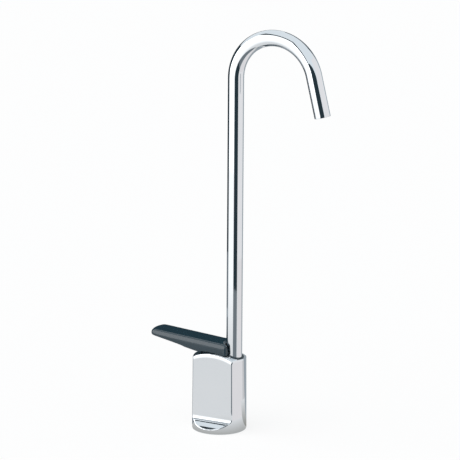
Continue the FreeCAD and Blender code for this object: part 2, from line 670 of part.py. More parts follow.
def build_lever():
    """Blade with rounded edges, a saddle over the dome, a notch for the tube and a hub in the slot."""
    body = new_body("lever")
    half = size.lever_width / 2
    top = housing_height + size.lever_lift

    def top_at(x):
        return top - x * tangent(size.lever_slope)

    def underside_at(x):
        return top - size.lever_depth - x * tangent(size.underside_slope)

    tip = -size.lever_reach
    heel = size.lever_heel
    pad(body, draw(new_sketch(body, "XZ_Plane"), [
        (tip, underside_at(tip)), (heel, underside_at(heel)), (heel, top_at(heel)), (tip, top_at(tip)),
    ]), size.lever_width)

    wide = half + size.tip_corner
    tip_side = tip + size.tip_radius - root(size.tip_radius * size.tip_radius - wide * wide)
    beyond = tip - size.tip_corner
    pocket(body, draw(new_sketch(body, "XY_Plane"), [
        (beyond, -wide), (tip_side, -wide), (tip_side, wide), (beyond, wide),
    ], {1: (size.tip_radius, "right")}))

    def upright(edge):
        return edge.BoundBox.XLength < CLOSE and edge.BoundBox.YLength < CLOSE

    def at_top(edge):
        ends = (edge.Vertexes[0], edge.Vertexes[-1])
        return all(abs(point.Z - top_at(point.X).value) < CLOSE for point in ends)

    def at_underside(edge):
        ends = (edge.Vertexes[0], edge.Vertexes[-1])
        return all(abs(point.Z - underside_at(point.X).value) < CLOSE for point in ends)

    fillet(body, size.tip_corner, lambda edge: upright(edge) and edge.CenterOfMass.x < 0)
    fillet(body, size.heel_corner, lambda edge: upright(edge) and edge.CenterOfMass.x > 0)
    fillet(body, size.lever_top_round, at_top)
    fillet(body, size.lever_low_round, at_underside)

    # The saddle clears the dome with the lever at rest and pushed down.
    drop = pivot_height - dome_centre
    turn = size.lever_travel
    pushed_x = size.pivot_offset - size.pivot_offset * cosine(turn) - drop * sine(turn)
    pushed_z = pivot_height + size.pivot_offset * sine(turn) - drop * cosine(turn)
    for x, z in ((measure(0), dome_centre), (pushed_x, pushed_z)):
        ball = body.newObject("PartDesign::SubtractiveSphere", "Saddle")
        bind(ball, Radius=size.dome_radius + size.lever_gap)
        place(ball, x=x, z=z)

    hub_left = stem_x - size.push_radius
    hub_right = size.pivot_offset + boss_radius
    hub_low = pivot_height - size.push_radius / 2
    pad(body, draw_box(new_sketch(body, "XZ_Plane"), hub_left, hub_right, hub_low,
                       housing_height + size.lever_lift / 2), hub_half * 2)
    pad(body, draw_circle(new_sketch(body, "XZ_Plane"), size.push_radius, stem_x, pivot_height),
        hub_half * 2)
    pad(body, draw_circle(new_sketch(body, "XZ_Plane"), boss_radius, size.pivot_offset, pivot_height),
        hub_half * 2)
    pocket(body, draw_circle(new_sketch(body, "XZ_Plane"), bush_radius + size.press_fit_gap,
                             size.pivot_offset, pivot_height), size.lever_width, symmetric=True)
    pocket(body, draw_circle(new_sketch(body, "XY_Plane"), slot_half, size.spout_offset))


def build_collar():
    """Moulded collar that closes the slot round the tube: a rim on the dome, a skirt in the slot."""
    x = size.spout_offset
    outside = ball(size.dome_radius + size.collar_height)
    rim = cut(cylinder(size.collar_radius, size.dome_radius, x, 0, ceiling_height),
              ball(size.dome_radius + size.press_fit_gap))
    skirt = cylinder(slot_half - size.press_fit_gap, size.dome_radius, x, 0, ceiling_height)
    lever_side = block(0, size.lever_heel + size.tube_gap, size.housing_radius, ceiling_height,
                       housing_height + size.collar_height)
    node("tube_collar", cut(
        common(fuse(rim, skirt), outside),
        cylinder(tube_radius + size.running_fit * 2, size.dome_radius, x, 0, ceiling_height),
        lever_side))


def build_spout():
    """Gooseneck tube, its adapter and seals, the slip washer and the set screw that keeps it in."""
    body = new_body("spout_tube")
    x = size.spout_offset
    turn_end = (x + size.bend_radius * (1 - cosine(size.bend_angle)),
                bend_height + size.bend_radius * sine(size.bend_angle))
    outlet = (turn_end[0] + size.outlet_length * sine(size.bend_angle),
              turn_end[1] + size.outlet_length * cosine(size.bend_angle))
    path = draw(new_sketch(body, "XZ_Plane"), [(x, tube_foot), (x, bend_height), turn_end, outlet],
                {1: (size.bend_radius, "right")}, closed=False)
    section = draw_circle(new_sketch(body, "XY_Plane", tube_foot), tube_radius, x)
    draw_circle(section, tube_bore, x)
    pipe = body.newObject("PartDesign::AdditivePipe", "Gooseneck")
    pipe.Profile = section
    pipe.Spine = (path, ["Edge1", "Edge2", "Edge3"])

    floor = size.spigot_radius - size.press_fit_gap - size.seal_section
    catch_floor = size.spigot_radius - size.catch_depth
    upper_seal = socket_top - size.seal_pitch
    lower_seal = upper_seal - size.seal_pitch
    profile = [(size.spigot_bore, spigot_end), (size.spigot_radius, spigot_end)]
    for middle, bottom, room in ((catch_centre, catch_floor, size.catch_width),
                                 (lower_seal, floor, seal_room), (upper_seal, floor, seal_room)):
        profile += [(size.spigot_radius, middle - room / 2), (bottom, middle - room / 2),
                    (bottom, middle + room / 2), (size.spigot_radius, middle + room / 2)]
    grip = tube_bore - size.press_fit_gap
    profile += [(size.spigot_radius, tube_foot), (grip, tube_foot), (grip, tube_foot + size.adapter_grip),
                (size.spigot_bore, tube_foot + size.adapter_grip)]
    turned("spout_adapter", profile, x)
    seal_ring = socket_bore - size.press_fit_gap - seal_radius
    group("spout_o_rings", [torus(seal_ring, x, z) for z in (lower_seal, upper_seal)])
    ring("thrust_washer", socket_bore, tube_radius, socket_top, socket_top + size.slip_thickness, x)

    point = catch_floor + size.dog_gap
    shank = size.set_screw_radius - size.press_fit_gap
    node("spout_set_screw", fuse(
        cylinder(shank, tube_radius - socket_bore - size.running_fit * 2, x, -tube_radius,
                 catch_centre, "y"),
        cylinder(size.dog_radius, tube_radius - point, x, -tube_radius, catch_centre, "y")))


def check_model():
    """Stop on a failed feature, a cut that removes nothing, or a shape that is null or not valid."""
    for thing in doc.Objects:
        if "Invalid" in thing.State or "Error" in thing.State:
            raise RuntimeError(f"{thing.Label} failed: {thing.State}")
        if thing.TypeId in ("PartDesign::Pocket", "PartDesign::Groove"):
            if thing.Shape.Volume >= thing.BaseFeature.Shape.Volume:
                raise RuntimeError(f"{thing.Label} cuts nothing")
    for thing in NODES:
        if thing.Shape.isNull() or not thing.Shape.isValid():
            raise RuntimeError(f"{thing.Label} has no valid shape")


def main():
    build_housing()
    build_valve_body()
    build_foot()
    build_inlet()
    build_valve()
    build_spring()
    build_yoke()
    build_lever()
    build_collar()
    build_spout()
    doc.recompute()
    check_model()
    os.makedirs(PARTS_FOLDER, exist_ok=True)
    for thing in NODES:
        thing.Shape.exportStep(f"{PARTS_FOLDER}/{thing.Label}.step")
        print(thing.Label, len(thing.Shape.Solids), round(thing.Shape.Volume, 1))


main()
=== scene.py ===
import json
import math

import bpy
import numpy as np
from bpy.props import FloatProperty, FloatVectorProperty, IntProperty, PointerProperty
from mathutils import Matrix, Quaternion, Vector


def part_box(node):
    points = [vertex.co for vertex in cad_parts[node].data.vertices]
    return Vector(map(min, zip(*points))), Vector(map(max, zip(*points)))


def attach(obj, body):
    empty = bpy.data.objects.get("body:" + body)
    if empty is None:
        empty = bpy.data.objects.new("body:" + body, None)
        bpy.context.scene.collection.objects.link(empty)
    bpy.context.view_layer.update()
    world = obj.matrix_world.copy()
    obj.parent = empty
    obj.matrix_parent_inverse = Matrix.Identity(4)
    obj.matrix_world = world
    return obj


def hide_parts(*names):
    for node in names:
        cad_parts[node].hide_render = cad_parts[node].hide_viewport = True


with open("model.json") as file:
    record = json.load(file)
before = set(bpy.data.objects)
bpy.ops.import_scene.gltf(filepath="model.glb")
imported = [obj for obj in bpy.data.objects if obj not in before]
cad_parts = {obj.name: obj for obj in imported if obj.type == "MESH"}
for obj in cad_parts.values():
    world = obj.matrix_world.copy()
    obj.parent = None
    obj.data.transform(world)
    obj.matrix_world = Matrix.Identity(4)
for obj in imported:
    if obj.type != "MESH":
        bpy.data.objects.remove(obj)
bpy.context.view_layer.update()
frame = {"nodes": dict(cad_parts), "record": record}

bl_info = {
    "name": "Glass filler faucet",
    "version": (1, 0, 0),
    "blender": (4, 5, 0),
    "location": "3D View > Sidebar > Faucet",
    "description": "Finishes the packed glass filler faucet and sets up its studio",
    "category": "Object",
}

MM = 0.001
MM_PER_METRE = 1000
TINY = 1e-9
WHITE = "FFFFFF"


def linear(code):
    """Turn an sRGB hex value into a linear colour."""
    channels = (int(code[place:place + 2], 16) / 255 for place in (0, 2, 4))
    return [c / 12.92 if c <= 0.04045 else ((c + 0.055) / 1.055) ** 2.4 for c in channels]


def opaque(colour):
    """Give a linear colour the fourth channel that a shader socket has."""
    return (*colour, 1.0)


def repeats(size):
    """Pattern scale for features of this size in millimetres, on Object coordinates in metres."""
    return MM_PER_METRE / size


def add(tree, kind, links=None, **settings):
    """Add a node with its settings; links names each input's value or the socket it comes from."""
    node = tree.nodes.new(kind)
    for name, value in settings.items():
        setattr(node, name, value)
    for name, source in (links or {}).items():
        if isinstance(source, bpy.types.NodeSocket):
            tree.links.new(source, node.inputs[name])
        else:
            node.inputs[name].default_value = source
    return node


def corner(node, side, axis):
    """One coordinate of a node's box at rest: side 0 is the low corner, 1 the high one."""
    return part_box(node)[side]["xyz".index(axis)]


def linked(name, data):
    """A new object of the scene with this mesh, lamp or camera."""
    piece = bpy.data.objects.new(name, data)
    bpy.context.scene.collection.objects.link(piece)
    return piece


# ---------------------------------------------------------------------------------------------
# Sizes and colours


def length(name, description, default):
    """A size in metres."""
    return FloatProperty(name=name, description=description, default=default,
                         unit="LENGTH", subtype="DISTANCE", precision=5)


def angle(name, description, default):
    """An angle, its default in degrees."""
    return FloatProperty(name=name, description=description, default=math.radians(default),
                         unit="ROTATION", subtype="ANGLE")


def shade(name, description, code):
    """A colour, its default an sRGB hex value."""
    return FloatVectorProperty(name=name, description=description, default=linear(code),
                               size=3, min=0, max=1, subtype="COLOR")


class SpoutSizes(bpy.types.PropertyGroup):
    """Gooseneck tube of the spout."""

    radius: length("Tube radius", "Outside of the tube", corner("spout_tube", 1, "y"))
    wall: length("Wall", "Thickness of the tube", 1.0 * MM)
    foot: length("Foot", "Height of the lower end, inside the housing",
                 corner("spout_tube", 0, "z"))
    bend_radius: length("Bend radius", "Centre line of the bend", 30.3 * MM)
    bend_angle: angle("Bend angle", "How far the tube is turned over", 166.0)
    outlet: length("Outlet", "Straight end after the bend", 28.7 * MM)
    lip: length("Lip", "Edge break at the cut ends", 0.22 * MM)
    step: length("Step", "Length of tube between two rings of the mesh", 1.5 * MM)
    sides: IntProperty(name="Sides", description="Faces round the tube", default=96, min=12)


class HousingSizes(bpy.types.PropertyGroup):
    """Plated shell: round with two flats, coved at the foot, domed and slotted at the top."""

    foot_radius: length("Foot radius", "At the deck", corner("housing", 1, "x"))
    rim_radius: length("Rim radius", "Where the top round starts", 18.65 * MM)
    dome_radius: length("Dome radius", "Ball radius of the top", 41.0 * MM)
    dome_top: length("Dome top", "Height of the dome, were it not slotted", 56.7 * MM)
    rim_round: length("Rim round", "Between the round sides and the dome", 1.9 * MM)
    flat_round: length("Flat round", "Between each flat and the dome", 3.0 * MM)
    foot_round: length("Foot round", "At the deck", 0.6 * MM)
    edge_round: length("Edge round", "Upright edges of the flats", 0.55 * MM)
    flat: length("Flat", "Axis to each flat", 10.75 * MM)
    cove_radius: length("Cove radius", "Hollow at the bottom of each flat", 3.3 * MM)
    cove_height: length("Cove height", "Where a flat runs into its cove", 10.4 * MM)
    cove_turn: angle("Cove turn", "Angle of the cove", 75.0)
    ledge_fall: angle("Ledge fall", "Slope of the dished ledge below the cove", 41.0)
    ledge_lip: angle("Ledge lip", "Slope of the ledge at its outer edge", 25.0)
    ledge_width: length("Ledge width", "Crease to the outer edge", 5.7 * MM)
    slot_half: length("Slot half width", "Axis to each side of the slot", 6.055 * MM)
    slot_reach: length("Slot reach", "Axis to the lever end of the slot", 12.0 * MM)
    slot_centre: length("Slot centre", "Axis to the centre of the slot's round end", 11.55 * MM)
    slot_edge: length("Slot edge", "Edge break of the slot", 0.3 * MM)
    ceiling: length("Ceiling", "Underside of the roof", 50.0 * MM)
    cavity_radius: length("Cavity radius", "Inside of the round sides", 17.455 * MM)
    cavity_flat: length("Cavity flat", "Inside of the flats", 9.05 * MM)
    recess: length("Recess", "Depth of the recess for the flange and gasket", 3.0 * MM)


class LeverSizes(bpy.types.PropertyGroup):
    """Soft edges and bevels of the moulded lever."""

    grain: length("Grain", "Faces of the skin", 0.3 * MM)
    kept: length("Kept height", "Up to here the lever keeps its exact shape", 57.4 * MM)
    eased: length("Eased height", "From here up the edges are fully eased", 59.5 * MM)
    passes: IntProperty(name="Passes", description="How often the skin is eased", default=60, min=0)
    edge_passes: IntProperty(name="Edge passes", description="How often the bevels are eased",
                             default=5, min=0)
    top: length("Top", "Top of the blade at the axis of the housing", 63.4 * MM)
    slope: angle("Slope", "Rise of the top towards the tip", 3.86)
    bevel_width: length("Bevel width", "Flat bevel along each side of the top", 3.7 * MM)
    bevel_tilt: angle("Bevel tilt", "Bevel from upright", 27.0)


class FinishColours(bpy.types.PropertyGroup):
    """Colours of the materials, as they look in plain light."""

    chrome: shade("Chrome", "Polished chromium plate", "D6D9DC")
    chrome_cool: shade("Chrome, cool", "Where the plate is thinner", "D1D6DA")
    plastic: shade("Plastic", "Black of the lever", "1A2F39")
    # Lighter lengthwise streaks on the lever.
    plastic_streak: shade("Plastic streak", "Flow streaks of the moulding", "243A44")
    brass: shade("Brass", "Freshly machined", "D9BE82")
    brass_dull: shade("Brass, dull", "Handled and a little tarnished", "B8965A")
    steel: shade("Steel", "Stainless, satin", "BFC2C4")
    steel_dull: shade("Steel, dull", "Between the scratches", "A3A6A9")
    rubber: shade("Rubber", "Nitrile rubber", "1B1B1C")
    rubber_bloom: shade("Rubber bloom", "Pale bloom on the rubber", "2A2A2B")
    acetal: shade("Acetal", "Natural white moulding", "EDEAE0")
    acetal_shade: shade("Acetal shade", "Thicker parts of the moulding", "DEDACD")


class StudioSettings(bpy.types.PropertyGroup):
    """Camera, floor and light of the studio."""

    aim: FloatVectorProperty(name="Aim", description="Point in the middle of the picture",
                             default=(7.59 * MM, 0.0, 143.0 * MM), size=3, unit="LENGTH",
                             subtype="TRANSLATION")
    azimuth: angle("Azimuth", "Camera from the front, towards the outlet", 28.676)
    elevation: angle("Elevation", "Camera above level", 13.790)
    roll: angle("Roll", "Camera turned about its own axis", 0.359)
    distance: length("Distance", "Camera to aim", 2.4029)
    lens: FloatProperty(name="Lens", description="Focal length in millimetres", default=273.02)
    floor: shade("Floor", "Painted floor", "FAFAFA")
    floor_white: FloatProperty(name="Floor white", default=0.85, min=0, max=1, subtype="FACTOR",
                               description="How far the floor is plain white and shows no shadow")
    sky: shade("Sky", "Tint of the light from above", "F2F8FC")
    sky_light: FloatProperty(name="Sky light", description="Sky where it lights the faucet",
                             default=0.45, min=0)
    sky_mirrored: FloatProperty(name="Sky mirrored", description="Sky where the metal mirrors it",
                                default=1.15, min=0)
    key_place: FloatVectorProperty(name="Key place", description="Where the key light comes from",
                                   default=(-0.5, -0.6, 1.2), size=3, unit="LENGTH",
                                   subtype="TRANSLATION")
    key_strength: FloatProperty(name="Key strength", description="Strength of the key light",
                                default=2.0, min=0)
    key_spread: angle("Key spread", "Width of the key light, for soft shadows", 60.0)


# ---------------------------------------------------------------------------------------------
# Materials


# At a scale of 1 the bands of a Wave texture are this far apart.
WAVE_BAND = 2 * math.pi / 20
# Spacing of the tool marks on brass as they are drawn, in millimetres: about 2.5.
TOOL_MARKS = 0.8 * math.pi


def new_material(name):
    """Start a material; returns it, its tree, its Principled shader and its Object coordinates."""
    material = bpy.data.materials.new(name)
    material.use_nodes = True
    tree = material.node_tree
    shader = tree.nodes["Principled BSDF"]
    place = add(tree, "ShaderNodeTexCoord").outputs["Object"]
    return material, tree, shader, place


def surface(tree, shader, pattern, tints, roughness, relief, strength, depth, tinted_by=None,
            **even):
    """Let a pattern vary the colour between two tints and the roughness between two values, raise
    a relief, and set the shader's sockets that are even all over. tinted_by is the pattern of the
    colour where that is another one."""
    tinted_by = pattern if tinted_by is None else tinted_by
    tint = add(tree, "ShaderNodeMixRGB", {"Fac": tinted_by, "Color1": opaque(tints[0]),
                                          "Color2": opaque(tints[1])})
    rough = add(tree, "ShaderNodeMapRange", {"Value": pattern, "To Min": roughness[0],
                                             "To Max": roughness[1]})
    bump = add(tree, "ShaderNodeBump", {"Height": relief, "Strength": strength, "Distance": depth})
    for socket, source in (("Base Color", tint.outputs["Color"]),
                           ("Roughness", rough.outputs["Result"]),
                           ("Normal", bump.outputs["Normal"])):
        tree.links.new(source, shader.inputs[socket])
    for socket, value in even.items():
        shader.inputs[socket].default_value = value


def chrome_plate(colours):
    """Bright nickel-chromium plate, buffed before plating: a cool mirror, with a faint haze in
    patches where the buffing wheel was turned and a trace of orange peel from the plating bath."""
    material, tree, shader, place = new_material("polished chromium plate")
    patch = add(tree, "ShaderNodeTexNoise", {"Vector": place, "Scale": repeats(24), "Detail": 2.0})
    # The long wave of orange peel on plate, a few millimetres across.
    peel = add(tree, "ShaderNodeTexNoise", {"Vector": place, "Scale": repeats(5), "Detail": 1.0})
    surface(tree, shader, patch.outputs["Fac"], (colours.chrome, colours.chrome_cool),
            roughness=(0.025, 0.06), relief=peel.outputs["Fac"], strength=0.015, depth=0.02 * MM,
            Metallic=1.0)
    return material


def moulded_plastic(colours):
    """Black ABS, injection moulded in a polished tool: a deep gloss with faint lighter lengthwise
    streaks and the slight ripple of a moulded skin."""
    material, tree, shader, place = new_material("moulded black ABS")
    # Lighter streaks run along the lever, between heel and tip, 30 times as long as wide.
    along = add(tree, "ShaderNodeMapping", {"Vector": place, "Scale": (1 / 30, 1.0, 1.0)})
    streak = add(tree, "ShaderNodeTexNoise", {"Vector": along.outputs["Vector"],
                                              "Scale": repeats(1.6), "Detail": 3.0})
    grain = add(tree, "ShaderNodeTexNoise", {"Vector": place, "Scale": repeats(0.9), "Detail": 2.0})
    surface(tree, shader, streak.outputs["Fac"], (colours.plastic, colours.plastic_streak),
            roughness=(0.07, 0.14), relief=grain.outputs["Fac"], strength=0.03, depth=0.02 * MM,
            IOR=1.5)
    return material


def machined_brass(colours):
    """Turned and milled brass: warm metal with fine rings of tool marks, its colour duller in
    patches where it was handled."""
    material, tree, shader, place = new_material("machined brass")
    patch = add(tree, "ShaderNodeTexNoise", {"Vector": place, "Scale": repeats(6), "Detail": 3.0})
    # Tool marks are about 0.1 mm apart; drawn far wider so that they show.
    marks = add(tree, "ShaderNodeTexWave", {"Vector": place, "Distortion": 0.6,
                                            "Scale": repeats(TOOL_MARKS) * WAVE_BAND},
                wave_type="BANDS", bands_direction="Z")
    surface(tree, shader, marks.outputs["Fac"], (colours.brass, colours.brass_dull),
            roughness=(0.24, 0.36), relief=marks.outputs["Fac"], strength=0.15, depth=0.02 * MM,
            tinted_by=patch.outputs["Fac"], Metallic=1.0)
    return material


def satin_steel(colours):
    """Stainless steel, tumbled to a satin: pale grey metal with short fine scratches."""
    material, tree, shader, place = new_material("satin stainless steel")
    # Scratches are a few hundredths wide; drawn at 0.3 mm, 12 times as long, so that they show.
    along = add(tree, "ShaderNodeMapping", {"Vector": place, "Scale": (1.0, 1 / 12, 1.0)})
    scratch = add(tree, "ShaderNodeTexNoise", {"Vector": along.outputs["Vector"],
                                               "Scale": repeats(0.3), "Detail": 3.0})
    surface(tree, shader, scratch.outputs["Fac"], (colours.steel, colours.steel_dull),
            roughness=(0.28, 0.42), relief=scratch.outputs["Fac"], strength=0.12, depth=0.02 * MM,
            Metallic=1.0)
    return material


def nitrile_rubber(colours):
    """Moulded nitrile rubber: soft black with a dusty bloom and no shine."""
    material, tree, shader, place = new_material("moulded nitrile rubber")
    bloom = add(tree, "ShaderNodeTexNoise", {"Vector": place, "Scale": repeats(4), "Detail": 4.0})
    grain = add(tree, "ShaderNodeTexNoise", {"Vector": place, "Scale": repeats(0.4), "Detail": 2.0})
    surface(tree, shader, bloom.outputs["Fac"], (colours.rubber, colours.rubber_bloom),
            roughness=(0.6, 0.8), relief=grain.outputs["Fac"], strength=0.2, depth=0.03 * MM)
    return material


def white_acetal(colours):
    """Natural acetal, moulded: waxy off-white, a little milky where it is thick."""
    material, tree, shader, place = new_material("moulded white acetal")
    milk = add(tree, "ShaderNodeTexNoise", {"Vector": place, "Scale": repeats(3), "Detail": 2.0})
    surface(tree, shader, milk.outputs["Fac"], (colours.acetal, colours.acetal_shade),
            roughness=(0.35, 0.48), relief=milk.outputs["Fac"], strength=0.1, depth=0.05 * MM,
            IOR=1.48)
    return material


FINISHES = {
    "chrome": chrome_plate,
    "black_plastic": moulded_plastic,
    "brass": machined_brass,
    "steel": satin_steel,
    "rubber": nitrile_rubber,
    "acetal": white_acetal,
}
MADE = {}


def finish(slot):
    """The material of a slot of the record, made the first time it is asked for."""
    if slot not in MADE:
        MADE[slot] = FINISHES[slot](bpy.context.scene.faucet_colours)
    return MADE[slot]


# ---------------------------------------------------------------------------------------------
# Geometry Nodes


def new_tree(name, **inputs):
    """Start a tree; inputs names the sockets of each kind. Returns the tree and its inputs."""
    tree = bpy.data.node_groups.new(name, "GeometryNodeTree")
    tree.is_modifier = True
    for kind, labels in inputs.items():
        for label in labels:
            tree.interface.new_socket(label, in_out="INPUT", socket_type="NodeSocket" + kind)
    tree.interface.new_socket("Geometry", in_out="OUTPUT", socket_type="NodeSocketGeometry")
    return tree, add(tree, "NodeGroupInput").outputs


def close_tree(tree, geometry, material):
    """End a tree: its geometry shaded smooth, made real and given its material."""
    smooth = add(tree, "GeometryNodeSetShadeSmooth", {"Geometry": geometry})
    real = add(tree, "GeometryNodeRealizeInstances", {"Geometry": smooth.outputs["Geometry"]})
    dressed = add(tree, "GeometryNodeSetMaterial", {"Geometry": real.outputs["Geometry"],
                                                    "Material": material})
    add(tree, "NodeGroupOutput", {"Geometry": dressed.outputs["Geometry"]})


def settle(piece, tree, sizes):
    """Run a tree with these sizes on a piece and keep its result as a plain mesh."""
    nodes = piece.modifiers.new(tree.name, "NODES")
    nodes.node_group = tree
    for item in tree.interface.items_tree:
        if item.in_out == "INPUT" and item.name in sizes:
            nodes[item.identifier] = sizes[item.name]
    depsgraph = bpy.context.evaluated_depsgraph_get()
    mesh = bpy.data.meshes.new_from_object(piece.evaluated_get(depsgraph), depsgraph=depsgraph)
    piece.modifiers.clear()
    piece.data = mesh


# ---------------------------------------------------------------------------------------------
# Spout tube


def spout_tree(material):
    """Geometry Nodes that sweep the tube along its path: riser, bend and outlet."""
    tree, size = new_tree(
        "spout sweep",
        Float=("Axis", "Foot", "Riser", "Bend radius", "Bend angle", "Outlet", "Radius", "Step"),
        Int=("Sides",))

    # How far along the tube a ring is gives its share of riser, of bend and of outlet. Each step
    # names its result, its operation and what it works on.
    known = {socket.name: socket for socket in size}
    known["reach"] = add(tree, "GeometryNodeSplineParameter").outputs["Length"]
    for result, operation, first, second in (
        ("arc", "MULTIPLY", "Bend radius", "Bend angle"),
        ("to outlet", "ADD", "Riser", "arc"),
        ("total", "ADD", "to outlet", "Outlet"),
        ("count", "DIVIDE", "total", "Step"),
        ("past riser", "SUBTRACT", "reach", "Riser"),
        ("bending", "MAXIMUM", "past riser", 0.0),
        ("turn", "DIVIDE", "bending", "Bend radius"),
        ("turned", "MINIMUM", "turn", "Bend angle"),
        ("past bend", "SUBTRACT", "bending", "arc"),
        ("beyond", "MAXIMUM", "past bend", 0.0),
        ("sine", "SINE", "turned", 0.0),
        ("cosine", "COSINE", "turned", 0.0),
        ("lean", "SUBTRACT", 1.0, "cosine"),
        ("bend across", "MULTIPLY", "Bend radius", "lean"),
        ("outlet across", "MULTIPLY", "beyond", "sine"),
        ("turned across", "ADD", "bend across", "outlet across"),
        ("across", "ADD", "Axis", "turned across"),
        ("bend up", "MULTIPLY", "Bend radius", "sine"),
        ("outlet up", "MULTIPLY", "beyond", "cosine"),
        ("turned up", "ADD", "bend up", "outlet up"),
        ("riser up", "MINIMUM", "reach", "Riser"),
        ("straight up", "ADD", "Foot", "riser up"),
        ("height", "ADD", "straight up", "turned up"),
    ):
        taken = {0: known.get(first, first), 1: known.get(second, second)}
        known[result] = add(tree, "ShaderNodeMath", taken, operation=operation).outputs[0]
    end = add(tree, "ShaderNodeCombineXYZ", {"Z": known["total"]})
    line = add(tree, "GeometryNodeCurvePrimitiveLine", {"End": end.outputs["Vector"]})
    fine = add(tree, "GeometryNodeResampleCurve", {"Curve": line.outputs["Curve"],
                                                   "Count": known["count"]})
    point = add(tree, "ShaderNodeCombineXYZ", {"X": known["across"], "Z": known["height"]})
    path = add(tree, "GeometryNodeSetPosition", {"Geometry": fine.outputs["Curve"],
                                                 "Position": point.outputs["Vector"]})
    ring = add(tree, "GeometryNodeCurvePrimitiveCircle", {"Resolution": size["Sides"],
                                                          "Radius": size["Radius"]})
    sweep = add(tree, "GeometryNodeCurveToMesh", {"Curve": path.outputs["Geometry"],
                                                  "Profile Curve": ring.outputs["Curve"]})
    close_tree(tree, sweep.outputs["Mesh"], material)
    return tree


class FAUCET_OT_spout_tube(bpy.types.Operator):
    """Sweep the gooseneck tube and give it its wall and lips"""

    bl_idname = "faucet.spout_tube"
    bl_label = "Spout tube"

    LIP_SEGMENTS = 3
    # Only the cut ends are sharper than this.
    LIP_ANGLE = math.radians(60)

    def execute(self, context):
        sizes = context.scene.faucet_spout
        axis = corner("spout_tube", 0, "x") + sizes.radius
        top = corner("spout_tube", 1, "z")
        tube = linked("gooseneck", bpy.data.meshes.new("gooseneck"))
        settle(tube, spout_tree(finish("chrome")), {
            "Axis": axis,
            "Foot": sizes.foot,
            "Riser": top - sizes.radius - sizes.bend_radius - sizes.foot,
            "Bend radius": sizes.bend_radius,
            "Bend angle": sizes.bend_angle,
            "Outlet": sizes.outlet,
            "Radius": sizes.radius,
            "Step": sizes.step,
            "Sides": sizes.sides,
        })
        wall = tube.modifiers.new("wall", "SOLIDIFY")
        wall.thickness = sizes.wall
        wall.offset = -1.0
        lip = tube.modifiers.new("lip", "BEVEL")
        lip.width = sizes.lip
        lip.segments = self.LIP_SEGMENTS
        lip.limit_method = "ANGLE"
        lip.angle_limit = self.LIP_ANGLE
        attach(tube, "spout")
        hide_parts("spout_tube")
        return {"FINISHED"}


# ---------------------------------------------------------------------------------------------
# Housing


